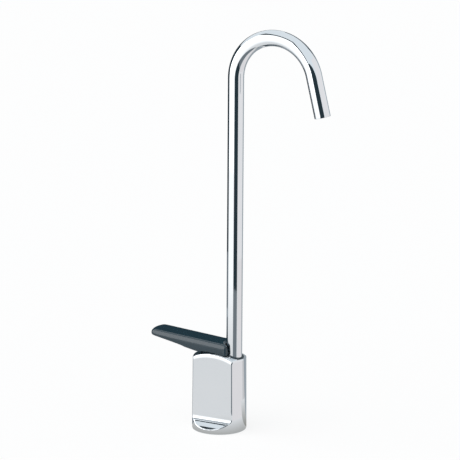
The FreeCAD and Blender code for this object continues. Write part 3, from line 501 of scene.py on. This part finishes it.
class HousingForm:
    """The outside of the housing as a signed distance, and the lines that its mesh follows."""

    RAY_STEPS = 48  # halvings that find a point of the outside

    # Columns all round, at each upright edge of the flats, and the turns that keep them apart.
    COLUMNS = 256
    EDGE_COLUMNS = 25
    EDGE_WINDOW = math.radians(3.0)
    CLEARANCE = math.radians(0.4)

    # Rows along each stretch of the outside, both of its ends counted, from the deck up.
    FOOT_ROWS = 6
    SIDE_ROWS = 5
    LEDGE_ROWS = 24
    COVE_ROWS = 20
    FLAT_ROWS = 14
    DOME_ROWS = 49
    SLOT_ROWS = 5

    LEDGE_FOOT = 3 * MM  # the side is plain up to here
    DOME_FOOT = 42 * MM  # on the axis, where the rays for the dome start
    ROOF_LIP = 0.02 * MM  # least width of the roof round the slot
    ROOF_DROP = 1 * MM  # first row of the cavity below the roof
    RECESS_SLIP = 0.001 * MM  # keeps the first and the last row apart

    def __init__(self, sizes):
        self.size = sizes
        self.dome_centre = sizes.dome_top - sizes.dome_radius
        self.rim_centre = sizes.rim_radius - sizes.rim_round
        self.rim_rise = math.sqrt((sizes.dome_radius - sizes.rim_round) ** 2 - self.rim_centre ** 2)
        self.rim = self.dome_centre + self.rim_rise
        self.flat_centre = sizes.flat - sizes.flat_round
        flat_reach = sizes.dome_radius - sizes.flat_round
        self.flat_ring = math.sqrt(flat_reach ** 2 - self.flat_centre ** 2)
        self.crease_y = sizes.flat + sizes.cove_radius * (1 - math.cos(sizes.cove_turn))
        self.crease = sizes.cove_height - sizes.cove_radius * math.sin(sizes.cove_turn)

    def side(self, z):
        """Radius of the drafted round side."""
        share = (z - self.size.foot_round) / (self.rim - self.size.foot_round)
        return self.size.foot_radius + share * (self.size.rim_radius - self.size.foot_radius)

    def face(self, z):
        """Axis to the flat, to the cove below it and to the ledge below that."""
        s = self.size
        sine = np.clip((s.cove_height - z) / s.cove_radius, 0, math.sin(s.cove_turn))
        cove = s.flat + s.cove_radius * (1 - np.sqrt(1 - sine ** 2))
        steep = math.tan(s.ledge_fall)
        dish = (steep - math.tan(s.ledge_lip)) / s.ledge_width
        fall = np.clip(self.crease - z, 0, steep ** 2 / (2 * dish))
        ledge = self.crease_y + (steep - np.sqrt(steep ** 2 - 2 * dish * fall)) / dish
        return np.where(z < self.crease, ledge, cove)

    def distance(self, x, y, z):
        """Below zero inside: round sides and flats, each rounded over into the same dome."""
        s = self.size
        out = np.hypot(x, y)
        up = z - self.dome_centre
        ball = np.hypot(out, up) - s.dome_radius
        over = np.hypot(out - self.rim_centre, z - self.rim) - s.rim_round
        sides = np.where(z > self.rim, over, out - self.side(z))
        sides = np.where(out * self.rim_rise <= self.rim_centre * up, ball, sides)
        ahead = np.abs(y)
        wheel = np.hypot(x, up)
        over = np.hypot(wheel - self.flat_ring, ahead - self.flat_centre) - s.flat_round
        flats = np.where((wheel > self.flat_ring) & (up > 0), over, ahead - self.face(z))
        domed = (ahead * self.flat_ring <= self.flat_centre * wheel) & (up > 0)
        flats = np.where(domed, ball, flats)
        # The upright edges are rounded; the round runs out where the dome takes over.
        soft = np.clip(-ball / 2, TINY, s.edge_round)
        return np.minimum(-soft, np.maximum(sides, flats)) + np.hypot(
            np.maximum(soft + sides, 0), np.maximum(soft + flats, 0))

    def reach(self, start, heading):
        """Points where rays from inside meet the outside, found by halving."""
        near = np.zeros(np.broadcast(start[0], heading[0]).shape)
        far = near + 2 * self.size.dome_radius
        for _ in range(self.RAY_STEPS):
            middle = (near + far) / 2
            inside = self.distance(*(s + middle * h for s, h in zip(start, heading))) < 0
            near = np.where(inside, middle, near)
            far = np.where(inside, far, middle)
        return np.stack([s + near * h for s, h in zip(start, heading)], axis=-1)

    def slot(self, turn):
        """Axis to the edge of the slot in each direction."""
        s = self.size
        sine = np.maximum(np.abs(np.sin(turn)), TINY)
        cosine = np.cos(turn)
        walls = s.slot_half / sine
        end = s.slot_reach / np.maximum(-cosine, TINY)
        bow = np.sqrt(np.maximum(s.slot_half ** 2 - (s.slot_centre * sine) ** 2, 0))
        round_end = s.slot_centre * cosine + bow
        straight = np.minimum(walls, end)
        return np.where(walls * cosine > s.slot_centre, round_end, straight)

    def columns(self):
        """Directions of the mesh's columns, close together at the upright edges of the flats."""
        edge = math.asin(self.size.flat / self.size.rim_radius)
        edges = (edge, math.pi - edge, math.pi + edge, 2 * math.pi - edge)
        window = self.EDGE_WINDOW
        dense = np.concatenate([np.linspace(e - window, e + window, self.EDGE_COLUMNS)
                                for e in edges])
        wide = np.linspace(0, 2 * math.pi, self.COLUMNS, endpoint=False)
        clear = np.all([np.abs(wide - e) > window + self.CLEARANCE for e in edges], axis=0)
        corner_turn = math.pi - math.atan2(self.size.slot_half, self.size.slot_reach)
        slot_corners = (corner_turn, 2 * math.pi - corner_turn)
        clear &= np.all([np.abs(wide - c) > self.CLEARANCE for c in slot_corners], axis=0)
        return np.sort(np.concatenate([wide[clear], dense, slot_corners]))

    def rings(self):
        """Rings of points from the deck up the outside, over the edge of the slot and back down
        inside the cavity to the deck."""
        s = self.size
        turn = self.columns()
        cosine, sine = np.cos(turn), np.sin(turn)

        def ring(radius, z):
            height = np.broadcast_to(z, turn.shape)
            return np.stack([radius * cosine, radius * sine, height], axis=-1)

        recess = np.full(turn.shape, s.cavity_radius)
        rows = [ring(recess, 0.0)]
        for lift in np.linspace(0, math.pi / 2, self.FOOT_ROWS):
            radius = s.foot_radius - s.foot_round * (1 - math.sin(lift))
            rows.append(ring(radius, s.foot_round * (1 - math.cos(lift))))
        cove = np.linspace(s.cove_turn, 0, self.COVE_ROWS)
        heights = np.concatenate([
            np.linspace(s.foot_round, self.LEDGE_FOOT, self.SIDE_ROWS)[1:],
            np.linspace(self.LEDGE_FOOT, self.crease, self.LEDGE_ROWS)[1:],
            s.cove_height - s.cove_radius * np.sin(cove[1:]),
            np.linspace(s.cove_height, self.DOME_FOOT, self.FLAT_ROWS)[1:],
        ])
        level = 0.0 * sine
        for z in heights:
            rows.append(self.reach((0.0, 0.0, z), (cosine, sine, level)))
        slot = self.slot(turn)
        rim = slot + s.slot_edge
        edge = self.reach((rim * cosine, rim * sine, self.DOME_FOOT), (level, level, 1.0 + level))
        climb = np.arctan2(edge[:, 2] - self.DOME_FOOT, rim)
        for share in np.linspace(0, 1, self.DOME_ROWS)[1:]:
            tilt = share * climb
            rows.append(self.reach((0.0, 0.0, self.DOME_FOOT),
                                   (np.cos(tilt) * cosine, np.cos(tilt) * sine, np.sin(tilt))))
        for bend in np.linspace(0, math.pi / 2, self.SLOT_ROWS)[1:]:
            rows.append(ring(rim - s.slot_edge * math.sin(bend),
                             edge[:, 2] - s.slot_edge * (1 - math.cos(bend))))
        rows.append(ring(slot, s.ceiling))
        cavity = np.minimum(s.cavity_radius, s.cavity_flat / np.maximum(np.abs(sine), TINY))
        rows.append(ring(np.maximum(cavity, slot + self.ROOF_LIP), s.ceiling))
        rows.append(ring(cavity, s.ceiling - self.ROOF_DROP))
        rows.append(ring(cavity, s.recess))
        rows.append(ring(recess + self.RECESS_SLIP, s.recess))
        return np.array(rows)


def ring_mesh(name, rings):
    """Join rings of points into one closed skin, round each ring and from the last to the first."""
    rows, columns = rings.shape[:2]
    index = np.arange(rows * columns).reshape(rows, columns)
    right = np.roll(index, -1, axis=1)
    above, above_right = np.roll(index, -1, axis=0), np.roll(right, -1, axis=0)
    faces = np.stack([index, right, above_right, above], axis=-1)
    mesh = bpy.data.meshes.new(name)
    mesh.from_pydata(rings.reshape(-1, 3).tolist(), [], faces.reshape(-1, 4).tolist())
    mesh.validate()
    mesh.shade_smooth()
    return mesh


class FAUCET_OT_housing(bpy.types.Operator):
    """Build the plated housing with its flats, coves, dome and slot"""

    bl_idname = "faucet.housing"
    bl_label = "Housing"

    # The creases of the ledges and the edges of the cavity are sharper than this.
    SHARP_ANGLE = math.radians(22)

    def execute(self, context):
        form = HousingForm(context.scene.faucet_housing)
        mesh = ring_mesh("plated_housing", form.rings())
        mesh.set_sharp_from_angle(angle=self.SHARP_ANGLE)
        mesh.materials.append(finish("chrome"))
        shell = linked("plated_housing", mesh)
        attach(shell, "base")
        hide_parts("housing")
        return {"FINISHED"}


# ---------------------------------------------------------------------------------------------
# Lever, and the pieces whose CAD shape is already right


def easing_tree(material):
    """Geometry Nodes that ease the edges of a moulding above the housing, press a flat bevel along
    each side of its top and leave the rest."""
    tree, given = new_tree(
        "eased moulding", Geometry=("Geometry",), Float=("Kept", "Eased", "Bevel reach"),
        Vector=("Bevel facing",), Int=("Passes", "Edge passes"))
    place = add(tree, "GeometryNodeInputPosition").outputs["Position"]
    point = add(tree, "ShaderNodeSeparateXYZ", {"Vector": place}).outputs
    share = add(tree, "ShaderNodeMapRange", {"Value": point["Z"], "From Min": given["Kept"],
                                             "From Max": given["Eased"]})

    def eased(geometry, passes):
        """Draw each point towards its neighbours, by its share."""
        blur = add(tree, "GeometryNodeBlurAttribute", {"Value": place, "Iterations": passes,
                                                       "Weight": share.outputs["Result"]},
                   data_type="FLOAT_VECTOR")
        moved = add(tree, "GeometryNodeSetPosition", {"Geometry": geometry,
                                                      "Position": blur.outputs["Value"]})
        return moved.outputs["Geometry"]

    # What stands past the bevel's plane is pressed back onto it, on both sides alike.
    ahead = add(tree, "ShaderNodeMath", {0: point["Y"]}, operation="ABSOLUTE")
    side = add(tree, "ShaderNodeMath", {0: point["Y"]}, operation="SIGN")
    folded = add(tree, "ShaderNodeCombineXYZ", {"X": point["X"], "Y": ahead.outputs[0],
                                                "Z": point["Z"]})
    along = add(tree, "ShaderNodeVectorMath", {0: folded.outputs[0], 1: given["Bevel facing"]},
                operation="DOT_PRODUCT")
    past = add(tree, "ShaderNodeMath", {0: given["Bevel reach"], 1: along.outputs["Value"]},
               operation="SUBTRACT")
    back = add(tree, "ShaderNodeMath", {0: past.outputs[0], 1: 0.0}, operation="MINIMUM")
    mirror = add(tree, "ShaderNodeCombineXYZ", {"X": 1.0, "Y": side.outputs[0], "Z": 1.0})
    facing = add(tree, "ShaderNodeVectorMath", {0: given["Bevel facing"], 1: mirror.outputs[0]},
                 operation="MULTIPLY")
    shift = add(tree, "ShaderNodeVectorMath", {0: facing.outputs[0], "Scale": back.outputs[0]},
                operation="SCALE")
    pressed = add(tree, "GeometryNodeSetPosition", {
        "Geometry": eased(given["Geometry"], given["Passes"]), "Offset": shift.outputs[0]})
    close_tree(tree, eased(pressed.outputs["Geometry"], given["Edge passes"]), material)
    return tree


def dress(nodes):
    """Give carried-over nodes the finish of their slot in the record."""
    slots = {part["node"]: part["material_slot"] for part in frame["record"]["subparts"]}
    for node in nodes:
        mesh = frame["nodes"][node].data
        mesh.materials.clear()
        mesh.materials.append(finish(slots[node]))


class FAUCET_OT_lever(bpy.types.Operator):
    """Bevel and ease the push-down lever and finish its bush and the collar round the tube"""

    bl_idname = "faucet.lever"
    bl_label = "Lever"

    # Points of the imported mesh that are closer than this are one.
    WELD_REACH = 0.001 * MM

    def execute(self, context):
        sizes = context.scene.faucet_lever
        packed = frame["nodes"]["lever"]
        mesh = packed.data.copy()
        mesh.transform(packed.matrix_world)
        lever = linked("moulded_lever", mesh)
        weld = lever.modifiers.new("weld", "WELD")
        weld.merge_threshold = self.WELD_REACH
        skin = lever.modifiers.new("skin", "REMESH")
        skin.mode = "VOXEL"
        skin.voxel_size = sizes.grain
        tilt = sizes.bevel_tilt
        across = Vector((0, 1, 0))
        up = Vector((math.sin(sizes.slope), 0, math.cos(sizes.slope)))
        facing = math.cos(tilt) * across + math.sin(tilt) * up
        edge = Vector((0, corner("lever", 1, "y"), sizes.top))
        depth = sizes.bevel_width * math.sin(tilt) * math.cos(tilt)
        settle(lever, easing_tree(finish("black_plastic")), {
            "Kept": sizes.kept,
            "Eased": sizes.eased,
            "Bevel reach": facing.dot(edge) - depth,
            "Bevel facing": facing,
            "Passes": sizes.passes,
            "Edge passes": sizes.edge_passes,
        })
        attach(lever, "lever")
        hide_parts("lever")
        dress(("lever_bush", "tube_collar"))
        return {"FINISHED"}


class FAUCET_OT_valve(bpy.types.Operator):
    """Finish the pieces of the valve and of the spout's bearing, inside the housing"""

    bl_idname = "faucet.valve"
    bl_label = "Valve and bearing"

    # Replaced, or finished together with the lever.
    DONE = {"housing", "spout_tube", "lever", "lever_bush", "tube_collar"}

    def execute(self, context):
        dress(sorted(set(frame["nodes"]) - self.DONE))
        return {"FINISHED"}


# ---------------------------------------------------------------------------------------------
# Studio


FLOOR_HALF = 6.0
FLOOR_DROP = 0.05 * MM  # just under the mats
SENSOR_WIDTH = 36.0
VIEW_END = 50.0
CARD_STRIPS = 24

# Evenly lit cards: colour and strength.
EVEN_CARDS = {
    "dark felt": ("2F3E45", 1.0),
    "shaded floor": ("828A90", 1.0),
    "blue-grey shade": ("AEB6BC", 1.0),
    "lit diffuser": (WHITE, 3.4),
    "diffuser top": (WHITE, 1.7),
    "diffuser edge": (WHITE, 1.45),
    "warm white floor": ("FFFAFA", 1.04),
    "pale warm shade": ("E8E5E5", 1.0),
    "warm white card": ("FFFCFC", 1.1),
}
# Painted shade of the floor round the foot of the faucet, and painted light on the lit floor.
# Mats that fade to white: colour, strength, and the distances where the fade starts and ends.
FADING_MATS = {
    "lit floor": ("D9D9D9", 1.45, 0.20, 0.42),
    "shade at the foot": ("C6C5C2", 1.0, 0.019, 0.050),
    "shade beside the foot": ("9C9B95", 1.0, 0.019, 0.090),
}

# Turns from the camera's side, in degrees, that most cards run between, and how far away they are.
FRONT, LEFT, BACK, RIGHT, FAR = (-17, 34), (-102, -22), (-188, -107), (38, 112), (122, 168)
FRONT_AWAY, LEFT_AWAY, BACK_AWAY = 0.40, 0.42, 0.50
MAT_EDGE = 0.0195  # just outside the foot of the housing
# Each card: its name, its finish and two edges, each with distance, height and the two turns. The
# left diffuser is brightest in the middle, because a bright edge breaks up thin dark lines.
CARDS = (
    ("front flag", "dark felt", (FRONT_AWAY, 0.0, *FRONT), (FRONT_AWAY, 0.30, *FRONT)),
    ("front flag top", "dark felt", (FRONT_AWAY, 0.30, *FRONT), (FRONT_AWAY, 0.37, 2, 18)),
    ("front mat", "shaded floor", (0.065, 0.0, *FRONT), (FRONT_AWAY, 0.0, *FRONT)),
    ("left diffuser foot", "diffuser edge", (LEFT_AWAY, 0.0, *LEFT), (LEFT_AWAY, 0.09, *LEFT)),
    ("left diffuser low", "diffuser top", (LEFT_AWAY, 0.09, *LEFT), (LEFT_AWAY, 0.20, *LEFT)),
    ("left diffuser", "lit diffuser", (LEFT_AWAY, 0.20, *LEFT), (LEFT_AWAY, 0.46, *LEFT)),
    ("left diffuser top", "diffuser top", (LEFT_AWAY, 0.46, *LEFT), (LEFT_AWAY, 0.66, *LEFT)),
    ("left floor", "lit floor", (0.20, 0.0, *LEFT), (LEFT_AWAY, 0.0, *LEFT)),
    ("diffuser frame", "dark felt", (LEFT_AWAY, 0.66, *LEFT), (LEFT_AWAY, 0.84, *LEFT)),
    ("diffuser post", "dark felt", (LEFT_AWAY, 0.30, -22, -12), (LEFT_AWAY, 0.84, -22, -14)),
    ("back flag", "dark felt", (BACK_AWAY, 0.0, -190, -107), (BACK_AWAY, 0.42, -190, -107)),
    ("back mat foot", "dark felt", (0.02, 0.0, -188, -138), (0.20, 0.0, -188, -138)),
    ("back mat side", "shaded floor", (0.02, 0.0, -138, -107), (0.20, 0.0, -138, -107)),
    ("back mat", "blue-grey shade", (0.20, 0.0, *BACK), (0.32, 0.0, *BACK)),
    ("back mat end", "shaded floor", (0.32, 0.0, *BACK), (BACK_AWAY, 0.0, *BACK)),
    ("right card", "warm white card", (BACK_AWAY, 0.0, *RIGHT), (BACK_AWAY, 0.60, *RIGHT)),
    ("back card", "blue-grey shade", (BACK_AWAY, 0.0, *FAR), (BACK_AWAY, 0.40, *FAR)),
    ("back card top", "dark felt", (BACK_AWAY, 0.40, *FAR), (BACK_AWAY, 0.62, *FAR)),
    ("foot mat", "shade at the foot", (MAT_EDGE, 0.0, -107, 96), (0.050, 0.0, -107, 96)),
    ("right foot mat", "shade beside the foot", (MAT_EDGE, 0.0, 96, 127), (0.090, 0.0, 96, 127)),
    ("right mat", "warm white floor", (0.050, 0.0, 44, 96), (BACK_AWAY, 0.0, 44, 112)),
    ("right mat edge", "pale warm shade", (0.090, 0.0, 108, 127), (BACK_AWAY, 0.0, 112, 122)),
    ("right back mat", "blue-grey shade", (MAT_EDGE, 0.0, 127, 160), (BACK_AWAY, 0.0, *FAR)),
)


def bare_tree(owner):
    """The emptied node tree of a material or world."""
    owner.use_nodes = True
    owner.node_tree.nodes.clear()
    return owner.node_tree


def card_material(name):
    """A card of the studio that shows only in reflections: its colour, evenly lit, or darkest close
    to the faucet and fading to white, painted shade as on a floor round what stands on it."""
    material = bpy.data.materials.new(name)
    tree = bare_tree(material)
    code, strength, *fade = EVEN_CARDS.get(name) or FADING_MATS[name]
    colour = opaque(linear(code))
    if fade:
        place = add(tree, "ShaderNodeTexCoord").outputs["Object"]
        away = add(tree, "ShaderNodeVectorMath", {0: place}, operation="LENGTH")
        share = add(tree, "ShaderNodeMapRange", {"Value": away.outputs["Value"],
                                                 "From Min": fade[0], "From Max": fade[1]})
        tint = add(tree, "ShaderNodeMixRGB", {"Fac": share.outputs["Result"], "Color1": colour,
                                              "Color2": opaque(linear(WHITE))})
        colour = tint.outputs["Color"]
    glow = add(tree, "ShaderNodeEmission", {"Color": colour, "Strength": strength})
    add(tree, "ShaderNodeOutputMaterial", {"Surface": glow.outputs["Emission"]})
    return material


def card(name, material, edges):
    """A curved card round the faucet between two edges. A card that stands has edges one above the
    other, a mat on the floor one outside the other. It is seen in reflections and nowhere else."""
    front = bpy.context.scene.faucet_studio.azimuth - math.pi / 2
    points = []
    for away, height, first, last in edges:
        for share in np.linspace(0, 1, CARD_STRIPS + 1):
            turn = front + math.radians(first + share * (last - first))
            points.append((away * math.cos(turn), away * math.sin(turn), height))
    width = CARD_STRIPS + 1
    faces = [(n, n + 1, n + 1 + width, n + width) for n in range(CARD_STRIPS)]
    mesh = bpy.data.meshes.new(name)
    mesh.from_pydata(points, [], faces)
    mesh.materials.append(material)
    sheet = linked(name, mesh)
    for sight in ("camera", "diffuse", "shadow", "transmission", "volume_scatter"):
        setattr(sheet, "visible_" + sight, False)


def any_ray(tree, *kinds):
    """One for rays of any of these kinds, nought for the others."""
    path = add(tree, "ShaderNodeLightPath").outputs
    found = path[kinds[0]]
    for kind in kinds[1:]:
        found = add(tree, "ShaderNodeMath", {0: found, 1: path[kind]},
                    operation="MAXIMUM").outputs[0]
    return found


def painted_floor(studio):
    """White painted floor: it shows as plain white, darkened only by the faucet's own shadow."""
    material = bpy.data.materials.new("white painted floor")
    tree = bare_tree(material)
    seen = any_ray(tree, "Is Camera Ray", "Is Glossy Ray", "Is Transmission Ray")
    paint = add(tree, "ShaderNodeBsdfDiffuse", {"Color": opaque(studio.floor)})
    white = add(tree, "ShaderNodeEmission", {"Strength": 1.0})
    share = add(tree, "ShaderNodeMath", {0: seen, 1: studio.floor_white}, operation="MULTIPLY")
    mix = add(tree, "ShaderNodeMixShader", {"Fac": share.outputs[0], 1: paint.outputs["BSDF"],
                                            2: white.outputs["Emission"]})
    add(tree, "ShaderNodeOutputMaterial", {"Surface": mix.outputs["Shader"]})
    return material


def studio_sky(studio):
    """Even light from all round: white in the picture, softer where it lights the faucet."""
    world = bpy.data.worlds.new("studio")
    bpy.context.scene.world = world
    tree = bare_tree(world)
    tint = opaque(studio.sky)
    soft = add(tree, "ShaderNodeBackground", {"Color": tint, "Strength": studio.sky_light})
    tinted = add(tree, "ShaderNodeBackground", {"Color": tint, "Strength": studio.sky_mirrored})
    white = add(tree, "ShaderNodeBackground", {"Strength": 1.0})
    mirrored = add(tree, "ShaderNodeMixShader", {"Fac": any_ray(tree, "Is Glossy Ray"),
                                                 1: soft.outputs[0], 2: tinted.outputs[0]})
    straight = any_ray(tree, "Is Camera Ray", "Is Transmission Ray")
    shown = add(tree, "ShaderNodeMixShader", {"Fac": straight, 1: mirrored.outputs[0],
                                              2: white.outputs[0]})
    add(tree, "ShaderNodeOutputWorld", {"Surface": shown.outputs[0]})


def lay_floor(studio):
    """The floor that the faucet stands on."""
    half = FLOOR_HALF
    mesh = bpy.data.meshes.new("floor")
    mesh.from_pydata([(-half, -half, 0), (half, -half, 0), (half, half, 0), (-half, half, 0)],
                     [], [(0, 1, 2, 3)])
    mesh.materials.append(painted_floor(studio))
    floor = linked("floor", mesh)
    floor.location.z = -FLOOR_DROP


def key_light(studio):
    """An even, wide light from one side; its own disc doesn't show in the metal."""
    lamp = bpy.data.lights.new("key", "SUN")
    lamp.energy = studio.key_strength
    lamp.angle = studio.key_spread
    stand = linked("key", lamp)
    stand.location = studio.key_place
    stand.rotation_euler = (-stand.location).to_track_quat("-Z", "Y").to_euler()
    stand.visible_glossy = False


def set_camera(studio):
    """The camera at the photograph's viewing angle."""
    camera = linked("camera", bpy.data.cameras.new("camera"))
    camera.data.lens = studio.lens
    camera.data.sensor_width = SENSOR_WIDTH
    camera.data.clip_end = VIEW_END
    level = math.cos(studio.elevation)
    back = Vector((math.sin(studio.azimuth) * level, -math.cos(studio.azimuth) * level,
                   math.sin(studio.elevation)))
    camera.location = Vector(studio.aim) + back * studio.distance
    turn = (-back).to_track_quat("-Z", "Y") @ Quaternion((0, 0, 1), studio.roll)
    camera.rotation_euler = turn.to_euler()
    bpy.context.scene.camera = camera


class FAUCET_OT_studio(bpy.types.Operator):
    """Set up floor, lamps, reflection cards and camera"""

    bl_idname = "faucet.studio"
    bl_label = "Studio"

    def execute(self, context):
        studio = context.scene.faucet_studio
        context.scene.view_settings.view_transform = "Standard"
        studio_sky(studio)
        lay_floor(studio)
        key_light(studio)
        materials = {name: card_material(name) for name in (*EVEN_CARDS, *FADING_MATS)}
        for name, material, *edges in CARDS:
            card(name, materials[material], edges)
        set_camera(studio)
        return {"FINISHED"}


# ---------------------------------------------------------------------------------------------
# Add-on


class VIEW3D_PT_faucet(bpy.types.Panel):
    """Lists the steps that finish the faucet"""

    bl_idname = "VIEW3D_PT_faucet"
    bl_label = "Glass filler faucet"
    bl_space_type = "VIEW_3D"
    bl_region_type = "UI"
    bl_category = "Faucet"

    def draw(self, context):
        for step in STEPS:
            self.layout.operator(step.bl_idname)


GROUPS = {
    "faucet_spout": SpoutSizes,
    "faucet_housing": HousingSizes,
    "faucet_lever": LeverSizes,
    "faucet_colours": FinishColours,
    "faucet_studio": StudioSettings,
}
STEPS = (
    FAUCET_OT_spout_tube,
    FAUCET_OT_housing,
    FAUCET_OT_lever,
    FAUCET_OT_valve,
    FAUCET_OT_studio,
)


def register():
    """Add the settings, the steps and the panel."""
    for name, group in GROUPS.items():
        bpy.utils.register_class(group)
        setattr(bpy.types.Scene, name, PointerProperty(type=group))
    for step in STEPS:
        bpy.utils.register_class(step)
    bpy.utils.register_class(VIEW3D_PT_faucet)


def unregister():
    """Take away what register added."""
    bpy.utils.unregister_class(VIEW3D_PT_faucet)
    for step in reversed(STEPS):
        bpy.utils.unregister_class(step)
    for name, group in reversed(GROUPS.items()):
        delattr(bpy.types.Scene, name)
        bpy.utils.unregister_class(group)


def main():
    """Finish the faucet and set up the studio."""
    register()
    bpy.ops.faucet.spout_tube()
    bpy.ops.faucet.housing()
    bpy.ops.faucet.lever()
    bpy.ops.faucet.valve()
    bpy.ops.faucet.studio()


if __name__ == "__main__":
    main()
